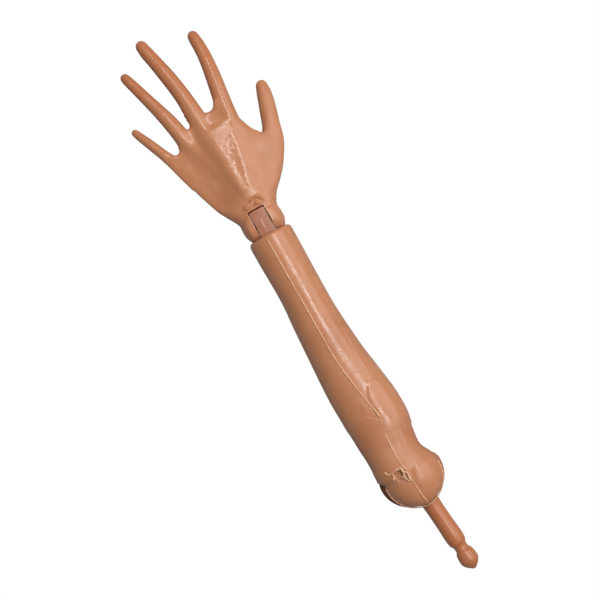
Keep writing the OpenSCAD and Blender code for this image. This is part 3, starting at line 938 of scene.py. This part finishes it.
def peg_profile():
    """Distance from the elbow pivot and radius, down the shank to the tip."""
    rows = [
        (2.2, 1.28), (3.5, 1.28), (4.3, 1.28), (4.9, 1.24), (5.5, 1.22), (8.0, 1.22), (10.75, 1.22),
        (10.95, 1.19), (11.15, 1.08), (11.35, 0.97), (11.55, 0.925), (11.8, 0.915), (12.05, 0.93),
        (12.2, 0.99), (12.32, 1.09), (12.5, 1.17), (12.8, 1.235), (13.15, 1.28), (13.5, 1.295),
        (13.8, 1.29), (14.0, 1.24), (14.2, 1.13), (14.45, 0.94), (14.7, 0.7), (14.88, 0.48),
        (15.0, 0.33), (15.06, 0.24), (15.12, 0.13), (15.13, 0.0),
    ]
    start, end = 2.2, 15.12
    xs = np.concatenate([np.arange(start, 10.7, 0.5), np.arange(10.7, end, 0.06)])
    radii = follow(rows, xs)[:, 0]
    return [(start, 0.0)] + list(zip(xs, np.clip(radii, 0.02, 1.3))) + [(end, 0.0)]


def elbow_peg_body():
    down = Matrix.Rotation(-math.pi / 2, 4, "Y")
    shank = to_object(turned(peg_profile(), down), "elbow_peg_body")
    edge = 0.28
    rounding = [
        (edge * (1 - math.cos(a)), DISC_R - edge + edge * math.sin(a))
        for a in np.radians((20, 45, 70, 90))
    ]
    disc = [(-DISC_HALF, 0.0), (-DISC_HALF, DISC_R - edge)]
    disc += [(-DISC_HALF + d, r) for d, r in rounding]
    disc += [(DISC_HALF - d, r) for d, r in reversed(rounding)]
    disc += [(DISC_HALF, DISC_R - edge), (DISC_HALF, 0.0)]
    disc = to_object(turned(disc, Matrix.Identity(4), 128), "disc")
    outline = [
        (-2.1, -1.9), (-2.1, 1.9), (-2.7, 1.66), (-3.2, 1.4), (-3.7, 1.2), (-4.0, 1.0),
        (-4.0, -1.0), (-3.7, -1.2), (-3.2, -1.4), (-2.7, -1.66),
    ]
    web = bevelled(slab(outline, -DISC_HALF, DISC_HALF), 0.12, 3)
    combine(shank, web, "UNION")
    combine(shank, disc, "UNION")
    hole = rod(ELBOW_PIN_R + PIN_CLEARANCE, 6, Matrix.Identity(4), 64)
    return combine(shank, hole, "DIFFERENCE")


def rounded_plate():
    """Outline of the wrist tongue, square with rounded corners, about the hinge."""
    half, corner = TONGUE_TOP, TONGUE_CORNER
    pts = [(-TONGUE_ROOT, -half + 0.1), (-TONGUE_ROOT, half - 0.1), (-TONGUE_ROOT + 0.1, half)]
    for middle, start, end in ((half - corner, 90, 0), (-half + corner, 0, -90)):
        for a in np.radians(np.linspace(start, end, 9)):
            pts.append((TONGUE_R - corner + corner * math.cos(a), middle + corner * math.sin(a)))
    return pts + [(-TONGUE_ROOT + 0.1, -half)]


def tongue_body():
    across = at(WRIST_X, ACROSS)
    body = slab(rounded_plate(), -TONGUE_HALF, TONGUE_HALF)
    body.data.transform(across)
    # a mould's draft: the tongue is a little thicker at the palm side
    for v in body.data.vertices:
        v.co.y *= 1 + TONGUE_DRAFT * (TONGUE_TOP - v.co.z) / (2 * TONGUE_TOP)
    bevelled(body, 0.2, 5)
    stem = [
        (29.1, 0.0), (29.1, 0.78), (30.25, 1.3), (30.35, 1.28), (30.4, STEM_R), (37.6, STEM_R),
        (37.6, 0.0),
    ]
    combine(body, to_object(turned(stem, ALONG, 64), "stem"), "UNION")
    hole = rod(WRIST_PIN_R + PIN_CLEARANCE, 6, across, 48)
    return combine(body, hole, "DIFFERENCE")


def tongue_line():
    """The fine raised parting line down the middle of the tongue."""
    path = [(x, 0.04 + 0.02 * math.sin(x * 3), TONGUE_TOP) for x in np.arange(37.6, 39.4, 0.08)]
    radii = [0.03 + 0.04 * math.sin(i / len(path) * math.pi) for i in range(len(path))]
    return to_object(strip(path, radii), "line")


# ---------------------------------------------------------------- materials


def new_group(name, inputs, outputs):
    group = bpy.data.node_groups.new(name, "ShaderNodeTree")
    for title, kind, default in inputs:
        socket = group.interface.new_socket(title, in_out="INPUT", socket_type=kind)
        if default is not None:
            socket.default_value = default
    for title, kind in outputs:
        group.interface.new_socket(title, in_out="OUTPUT", socket_type=kind)
    return group, group.nodes.new("NodeGroupInput"), group.nodes.new("NodeGroupOutput")


def add(tree, kind, **values):
    node = tree.nodes.new(kind)
    for key, value in values.items():
        if hasattr(node, key):
            setattr(node, key, value)
        else:
            node.inputs[key.replace("_", " ")].default_value = value
    return node


def noise(tree, vector, scale, detail=3.0, roughness=0.5):
    node = add(tree, "ShaderNodeTexNoise", Detail=detail, Roughness=roughness)
    node.inputs["Scale"].default_value = scale
    tree.links.new(vector, node.inputs["Vector"])
    return node


def spread(tree, value, low, high, to_low=0.0, to_high=1.0):
    node = tree.nodes.new("ShaderNodeMapRange")
    node.interpolation_type = "SMOOTHSTEP"
    for title, v in (("From Min", low), ("From Max", high), ("To Min", to_low), ("To Max", to_high)):
        node.inputs[title].default_value = v
    tree.links.new(value, node.inputs["Value"])
    return node.outputs["Result"]


def maths(tree, operation, a, b=None):
    node = tree.nodes.new("ShaderNodeMath")
    node.operation = operation
    for i, v in enumerate((a, b)):
        if v is None:
            continue
        if isinstance(v, (int, float)):
            node.inputs[i].default_value = v
        else:
            tree.links.new(v, node.inputs[i])
    return node.outputs[0]


def mixed(tree, a, b, factor):
    node = tree.nodes.new("ShaderNodeMix")
    node.data_type = "RGBA"
    for i, v in ((6, a), (7, b)):
        if isinstance(v, tuple):
            node.inputs[i].default_value = v
        else:
            tree.links.new(v, node.inputs[i])
    if isinstance(factor, float):
        node.inputs[0].default_value = factor
    else:
        tree.links.new(factor, node.inputs[0])
    return node.outputs[2]


def vinyl_grain_group():
    """Fine pits, orange peel and faint scuffs of moulded vinyl."""
    group, given, out = new_group(
        "Vinyl Grain",
        [
            ("Vector", "NodeSocketVector", None),
            ("Pit Size", "NodeSocketFloat", 1.0),
            ("Depth", "NodeSocketFloat", 1.0),
        ],
        [("Height", "NodeSocketFloat"), ("Dull", "NodeSocketFloat")],
    )
    scaled = add(group, "ShaderNodeVectorMath", operation="SCALE")
    group.links.new(given.outputs["Vector"], scaled.inputs[0])
    group.links.new(given.outputs["Pit Size"], scaled.inputs["Scale"])
    place = scaled.outputs[0]
    peel = noise(group, place, 2600.0, 2.0, 0.55)
    fine = noise(group, place, 7500.0, 2.0, 0.6)
    cells = add(group, "ShaderNodeTexVoronoi")
    cells.inputs["Scale"].default_value = 3600.0
    group.links.new(place, cells.inputs["Vector"])
    pits = spread(group, cells.outputs["Distance"], 0.0, 0.45)
    broad = noise(group, place, 420.0, 2.0, 0.5)
    patches = spread(group, broad.outputs["Fac"], 0.42, 0.62)

    def part(value, share):
        return maths(group, "MULTIPLY", value, share)

    height = part(peel.outputs["Fac"], 0.55)
    height = maths(group, "ADD", height, part(fine.outputs["Fac"], 0.12))
    height = maths(group, "ADD", height, part(part(pits, 0.5), patches))
    group.links.new(part(height, given.outputs["Depth"]), out.inputs["Height"])
    dull = maths(group, "ADD", part(broad.outputs["Fac"], 0.7), part(fine.outputs["Fac"], 0.3))
    group.links.new(spread(group, dull, 0.3, 0.7), out.inputs["Dull"])
    return group


def vinyl_tone_group():
    """The warm, slightly cloudy tone of pigmented vinyl."""
    group, given, out = new_group(
        "Vinyl Tone",
        [
            ("Vector", "NodeSocketVector", None),
            ("Tone", "NodeSocketColor", (0.5, 0.25, 0.14, 1)),
            ("Deep", "NodeSocketColor", (0.4, 0.18, 0.09, 1)),
            ("Pale", "NodeSocketColor", (0.6, 0.34, 0.22, 1)),
        ],
        [("Color", "NodeSocketColor")],
    )
    cloud = noise(group, given.outputs["Vector"], 110.0, 3.0, 0.55).outputs["Fac"]
    blotch = noise(group, given.outputs["Vector"], 420.0, 3.0, 0.6).outputs["Fac"]
    amount = spread(group, cloud, 0.5, 0.75, 0.0, 0.45)
    colour = mixed(group, given.outputs["Tone"], given.outputs["Deep"], amount)
    amount = spread(group, blotch, 0.52, 0.75, 0.0, 0.3)
    colour = mixed(group, colour, given.outputs["Pale"], amount)
    group.links.new(colour, out.inputs["Color"])
    return group


def linear(rgb):
    """Screen colour, 0 to 255, as the shader's own linear colour."""
    out = []
    for c in rgb:
        c /= 255
        out.append(c / 12.92 if c <= 0.04045 else ((c + 0.055) / 1.055) ** 2.4)
    return (*out, 1.0)


# The attribute a tone belongs to, the tone, and how much of it shows where the attribute is 1. Both are
# painted shade: a darker orange on the fingers' tips and sides, with its orange also standing in for
# light through thin vinyl, and a dark brown in the slots, the wrist's cup and the tear.
TINTS = (
    ("painted_finger_shade", (0.45, 0.125, 0.04, 1), 0.9),
    ("painted_recess_shade", (0.17, 0.05, 0.018, 1), 0.65),
)


def vinyl(name, tone, deep, pale, rough=0.29, depth=1.0):
    """A moulded plastic in three screen colours, with grain of the given depth."""
    mat = bpy.data.materials.new(name)
    mat.use_nodes = True
    tree = mat.node_tree
    shader = tree.nodes["Principled BSDF"]
    where = tree.nodes.new("ShaderNodeTexCoord").outputs["Object"]
    tones = tree.nodes.new("ShaderNodeGroup")
    tones.node_tree = bpy.data.node_groups.get("Vinyl Tone") or vinyl_tone_group()
    tones.inputs["Tone"].default_value = linear(tone)
    tones.inputs["Deep"].default_value = linear(deep)
    tones.inputs["Pale"].default_value = linear(pale)
    tree.links.new(where, tones.inputs["Vector"])
    colour = tones.outputs["Color"]
    for title, tint, most in TINTS:
        amount = add(tree, "ShaderNodeAttribute", attribute_name=title).outputs["Fac"]
        colour = mixed(tree, colour, tint, maths(tree, "MULTIPLY", amount, most))
    tree.links.new(colour, shader.inputs["Base Color"])
    grain = tree.nodes.new("ShaderNodeGroup")
    grain.node_tree = bpy.data.node_groups.get("Vinyl Grain") or vinyl_grain_group()
    grain.inputs["Pit Size"].default_value = 1.0
    grain.inputs["Depth"].default_value = depth
    tree.links.new(where, grain.inputs["Vector"])
    matte = add(tree, "ShaderNodeAttribute", attribute_name="matte")
    roughness = spread(tree, grain.outputs["Dull"], 0.0, 1.0, rough - 0.06, rough + 0.08)
    extra = maths(tree, "MULTIPLY", matte.outputs["Fac"], 0.2)
    tree.links.new(maths(tree, "ADD", roughness, extra), shader.inputs["Roughness"])
    relief = tree.nodes.new("ShaderNodeBump")
    relief.inputs["Strength"].default_value = 0.6
    relief.inputs["Distance"].default_value = 0.00004
    tree.links.new(grain.outputs["Height"], relief.inputs["Height"])
    tree.links.new(relief.outputs["Normal"], shader.inputs["Normal"])
    shader.inputs["Subsurface Weight"].default_value = 0.08
    shader.inputs["Subsurface Radius"].default_value = (0.0008, 0.0003, 0.0002)
    shader.inputs["Subsurface Scale"].default_value = 1.0
    shader.inputs["IOR"].default_value = 1.5
    return mat


def dress(obj, mat):
    obj.data.materials.clear()
    obj.data.materials.append(mat)


# ---------------------------------------------------------------- settings


class DollArmSizes(bpy.types.PropertyGroup):
    """Fineness of the arm's pieces"""

    skin_steps: IntProperty(
        name="Skin Steps", description="Points round the forearm", default=176, min=32
    )
    skin_spacing: FloatProperty(
        name="Skin Spacing", description="Millimetres between the forearm's rings", default=0.16, min=0.1
    )
    hand_voxel: FloatProperty(
        name="Hand Voxel", description="Fineness of the hand's surface, in mm", default=0.13, min=0.1
    )


class DollStage(bpy.types.PropertyGroup):
    """Camera of the studio"""

    camera_height: FloatProperty(
        name="Camera Height", description="Lens to the arm", default=LENS_HEIGHT * MM, unit="LENGTH"
    )


# ---------------------------------------------------------------- operators


def skin_material():
    return bpy.data.materials.get("Vinyl Skin") or vinyl(
        "Vinyl Skin", (194, 130, 91), (174, 108, 70), (202, 144, 110)
    )


class DOLLARM_OT_forearm(bpy.types.Operator):
    """Two vinyl skins of the forearm, with the raised seam line and the tear"""

    bl_idname = "dollarm.forearm"
    bl_label = "Forearm Skins"

    def execute(self, context):
        steps = context.scene.doll_arm.skin_steps
        body = forearm_body(steps, context.scene.doll_arm.skin_spacing)
        shape_forearm(body)
        bm = bmesh.new()
        bm.from_mesh(body.data)
        tree = BVHTree.FromBMesh(bm)
        bm.free()
        flash = seam_flash_and_rim_highlight(tree)
        threads = tear_flash(tree)
        hollow(body)
        outline = list(SEAM_LINE) + [(50, -15), (-10, -15), (-10, -1.2)]
        cutter = slab(outline, -9, 9)
        thumb = copy_of(body, "skin_thumb_side")
        combine(thumb, cutter, "INTERSECT", keep=True)
        little = combine(body, cutter, "DIFFERENCE")
        for outline, depth in zip((TORN_EDGE, TORN_DEEP), TEAR_FLOORS):
            for shell in (thumb, little):
                combine(shell, slab(outline, depth, 5.0), "DIFFERENCE")
        skin = skin_material()
        # pale vinyl for the raised lines, the tear's threads and the tongue's parting line: its paleness
        # is partly a painted highlight for the light these fine ridges catch, and on the strip along the
        # ear's edge it is wholly a painted highlight
        pale = vinyl("Pale Flash And Painted Highlight", (228, 176, 138), (208, 150, 110), (238, 196, 164), rough=0.32)
        for obj, name, node in (
            (thumb, "skin_thumb_side", "forearm_shell_thumb_side"),
            (little, "skin_little_finger_side", "forearm_shell_little_finger_side"),
        ):
            co, _ = coordinates(obj)
            x, y, z = co.T
            # painted shade: the slot's walls and floor, the wrist's cup and the tear's floors are painted
            # darker, for the shade that falls in these recesses
            slot = (np.abs(np.abs(z) - ELBOW_SLOT_HALF) < 0.02) & (x < 9)
            floor = (np.abs(z) < ELBOW_SLOT_HALF) & (np.hypot(x, y + ELBOW_OFFSET) < 3.6)
            torn = np.minimum(np.abs(z - TEAR_FLOORS[0]), np.abs(z - TEAR_FLOORS[1])) < 0.01
            torn &= (np.abs(x - 0.7) < 1.1) & (np.abs(y - 0.5) < 1.3)
            cup = np.sqrt((x - WRIST_X) ** 2 + y**2 + z**2) < CUP_R + 0.02
            note(obj, "painted_recess_shade", np.where(cup | floor, 1.0, np.where(slot, 0.55, 0.3 * torn)))
            note(obj, "matte", ease(8.6, 6.6, x) * (0.7 - 0.35 * ease(2.2, 0.6, x)))
            finished(obj, name, ARM_PLACE, 50)
            dress(obj, skin)
            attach(obj, "forearm")
            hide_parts(node)
        for obj, name in ((flash, "seam_flash_and_rim_highlight"), (threads, "tear_flash")):
            finished(obj, name, ARM_PLACE, 60)
            dress(obj, pale)
            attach(obj, "forearm")
        return {"FINISHED"}


class DOLLARM_OT_hand(bpy.types.Operator):
    """The moulded hand with its forked wrist"""

    bl_idname = "dollarm.hand"
    bl_label = "Hand"

    def execute(self, context):
        hand = hand_body(context.scene.doll_arm.hand_voxel)
        shape_hand(hand)
        cut_wrist(hand)
        co, no = coordinates(hand)
        x, y, _ = co.T
        # painted shade: the walls of the wrist slot are painted darker, for the shade inside the slot
        note(hand, "painted_recess_shade", (np.abs(np.abs(y) - TONGUE_HALF - SLOT_GAP) < 0.03) & (x < 41.6))
        # the thumb's side is matte, and the tendon that leads to the index finger is glossy
        matte = ease(0.0, 1.2, -1.5 - 0.24 * (x - 41) - y) * ease(40.5, 42.5, x)
        gloss = 0.3 * ridge(co, TENDONS[0][0], 0.8, 0.1) * ease(50.5, 46.5, x)
        note(hand, "matte", matte - gloss)
        # painted shade: the fingers are painted a darker orange towards their tips and most on their
        # sides, which turn away from the light; the orange also stands in for light passing through the
        # thin vinyl
        tips = ease(52.0, 66.0, np.hypot(x, 0.8 * y))
        note(hand, "painted_finger_shade", tips * (0.5 + 0.5 * (1 - ease(0.35, 0.85, no[:, 2]))))
        finished(hand, "hand_vinyl", ARM_PLACE, 50)
        dress(hand, skin_material())
        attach(hand, "hand")
        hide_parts("hand")
        return {"FINISHED"}


class DOLLARM_OT_joints(bpy.types.Operator):
    """The elbow peg, the wrist tongue, the pins and the core"""

    bl_idname = "dollarm.joints"
    bl_label = "Joints and Core"

    def execute(self, context):
        peg = finished(elbow_peg_body(), "elbow_peg_plastic", ROW_PLACE, 35)
        dress(peg, vinyl("Peg Plastic", (185, 113, 73), (165, 90, 52), (194, 130, 92), 0.3, 0.2))
        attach(peg, "elbow_peg")
        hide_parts("elbow_peg")
        tongue = finished(tongue_body(), "wrist_tongue", ARM_PLACE, 35)
        dress(tongue, vinyl("Tongue Plastic", (170, 108, 80), (152, 90, 64), (182, 124, 98), 0.36, 0.8))
        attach(tongue, "wrist_peg")
        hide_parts("wrist_peg")
        line = finished(tongue_line(), "tongue_line", ARM_PLACE, 60)
        # the parting line wears the pale seam material, whose paleness partly paints the highlight along
        # it
        dress(line, bpy.data.materials["Pale Flash And Painted Highlight"])
        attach(line, "wrist_peg")
        inner = finished(core_body(), "forearm_core_plastic", ARM_PLACE, 35)
        dress(inner, vinyl("Core Plastic", (186, 126, 106), (160, 98, 80), (200, 150, 130), 0.42))
        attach(inner, "forearm")
        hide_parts("forearm_core")
        pins = vinyl("Pin Plastic", (182, 124, 98), (160, 100, 78), (196, 140, 118), 0.3, 0.4)
        for node in ("elbow_pin", "wrist_pin"):
            dress(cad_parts[node], pins)
        return {"FINISHED"}


# name, lean towards the thumb side and towards the hand in degrees, distance, width, length, watts
LAMPS = (
    ("overhead_strip", 19, 4, 0.45, 0.022, 0.3, 1.0),
    ("side_key", 52, 5, 0.6, 0.35, 0.5, 1.28),
    ("finger_strip", 14, 36, 0.5, 0.06, 0.2, 0.5),
    ("top_fill", -12, 0, 0.8, 0.5, 0.5, 0.1),
)
SENSOR_WIDTH = 36


def stand(name, data, place, x, y, z):
    """Puts a camera or a lamp at a place, with its own axes along three directions."""
    obj = bpy.data.objects.new(name, data)
    bpy.context.scene.collection.objects.link(obj)
    obj.matrix_world = Matrix.Translation(place) @ Matrix((x, y, z)).transposed().to_4x4()
    return obj


def seen_by_camera(tree):
    return tree.nodes.new("ShaderNodeLightPath").outputs["Is Camera Ray"]


def white_paper():
    """Throws light back up. It is not there for the camera, nor for light that meets it from
    below, so a hand bent down past it is seen and lit as well."""
    paper = bpy.data.materials.new("White Paper")
    paper.use_nodes = True
    tree = paper.node_tree
    shader = tree.nodes["Principled BSDF"]
    shader.inputs["Base Color"].default_value = (0.4, 0.4, 0.4, 1)
    shader.inputs["Roughness"].default_value = 0.9
    below = tree.nodes.new("ShaderNodeNewGeometry").outputs["Backfacing"]
    both = tree.nodes.new("ShaderNodeMixShader")
    tree.links.new(maths(tree, "MAXIMUM", seen_by_camera(tree), below), both.inputs[0])
    tree.links.new(shader.outputs[0], both.inputs[1])
    tree.links.new(tree.nodes.new("ShaderNodeBsdfTransparent").outputs[0], both.inputs[2])
    tree.links.new(both.outputs[0], tree.nodes["Material Output"].inputs["Surface"])
    return paper


def white_world():
    """Pure white to the camera, and a weak fill light otherwise."""
    world = bpy.data.worlds.new("studio")
    world.use_nodes = True
    tree = world.node_tree
    sky = tree.nodes["Background"]
    sky.inputs["Color"].default_value = (1, 1, 1, 1)
    strength = tree.nodes.new("ShaderNodeMapRange")
    strength.inputs["To Min"].default_value = 0.2
    strength.inputs["To Max"].default_value = 1.0
    tree.links.new(seen_by_camera(tree), strength.inputs["Value"])
    tree.links.new(strength.outputs["Result"], sky.inputs["Strength"])
    return world


class DOLLARM_OT_stage(bpy.types.Operator):
    """Pale floor, soft lights and the camera"""

    bl_idname = "dollarm.stage"
    bl_label = "Studio"

    def execute(self, context):
        scene = context.scene
        height = scene.doll_stage.camera_height
        centre = ARM_PLACE @ Vector((*VIEW_MIDDLE, 0.0)) * MM
        turn = Matrix.Rotation(-ELBOW_REST, 3, "Z")
        away = Vector((0, 0, 1))
        # the arm lies turned in the picture: the hand points up and to the left
        right = (turn @ Vector((0.8729, -0.4879, 0))).cross(away).normalized()
        camera = bpy.data.cameras.new("studio_camera")
        camera.sensor_width = SENSOR_WIDTH
        camera.lens = SENSOR_WIDTH * height / (VIEW_WIDTH * MM)
        camera.clip_start, camera.clip_end = 0.01, 10
        eye = stand("studio_camera", camera, centre + away * height, right, away.cross(right), away)
        scene.camera = eye
        bm = bmesh.new()
        bmesh.ops.create_grid(bm, x_segments=1, y_segments=1, size=1.2)
        floor = to_object(bm, "studio_floor")
        floor.location.z = FLOOR_Z * MM
        dress(floor, white_paper())
        scene.world = white_world()
        across, along = (turn @ Vector((0, -1, 0))).normalized(), turn @ Vector((1, 0, 0))
        for name, lean, forward, distance, wide, tall, watts in LAMPS:
            lamp = bpy.data.lights.new(name, "AREA")
            lamp.shape, lamp.size, lamp.size_y, lamp.energy = "RECTANGLE", wide, tall, watts
            z = away + across * math.tan(math.radians(lean))
            z = (z + along * math.tan(math.radians(forward))).normalized()
            y = (along - z * along.dot(z)).normalized()
            stand(name, lamp, centre + z * distance, y.cross(z), y, z)
        scene.view_settings.view_transform = "Standard"
        scene.view_settings.look = "None"
        return {"FINISHED"}


class DOLLARM_PT_panel(bpy.types.Panel):
    """Buttons that build the arm and its studio"""

    bl_idname = "DOLLARM_PT_panel"
    bl_label = "Doll Arm"
    bl_space_type = "VIEW_3D"
    bl_region_type = "UI"
    bl_category = "Doll Arm"

    def draw(self, context):
        layout = self.layout
        sizes, stage = context.scene.doll_arm, context.scene.doll_stage
        for name in ("skin_steps", "skin_spacing", "hand_voxel"):
            layout.prop(sizes, name)
        for operator in BUILD_STEPS:
            layout.operator(operator.bl_idname)
        layout.prop(stage, "camera_height")


BUILD_STEPS = (DOLLARM_OT_stage, DOLLARM_OT_forearm, DOLLARM_OT_hand, DOLLARM_OT_joints)
CLASSES = (DollArmSizes, DollStage, *BUILD_STEPS, DOLLARM_PT_panel)


def register():
    for cls in CLASSES:
        bpy.utils.register_class(cls)
    bpy.types.Scene.doll_arm = PointerProperty(type=DollArmSizes)
    bpy.types.Scene.doll_stage = PointerProperty(type=DollStage)


def unregister():
    del bpy.types.Scene.doll_stage
    del bpy.types.Scene.doll_arm
    for cls in reversed(CLASSES):
        bpy.utils.unregister_class(cls)


def main():
    register()
    bpy.ops.dollarm.stage()
    bpy.ops.dollarm.forearm()
    bpy.ops.dollarm.hand()
    bpy.ops.dollarm.joints()


if __name__ == "__main__":
    main()
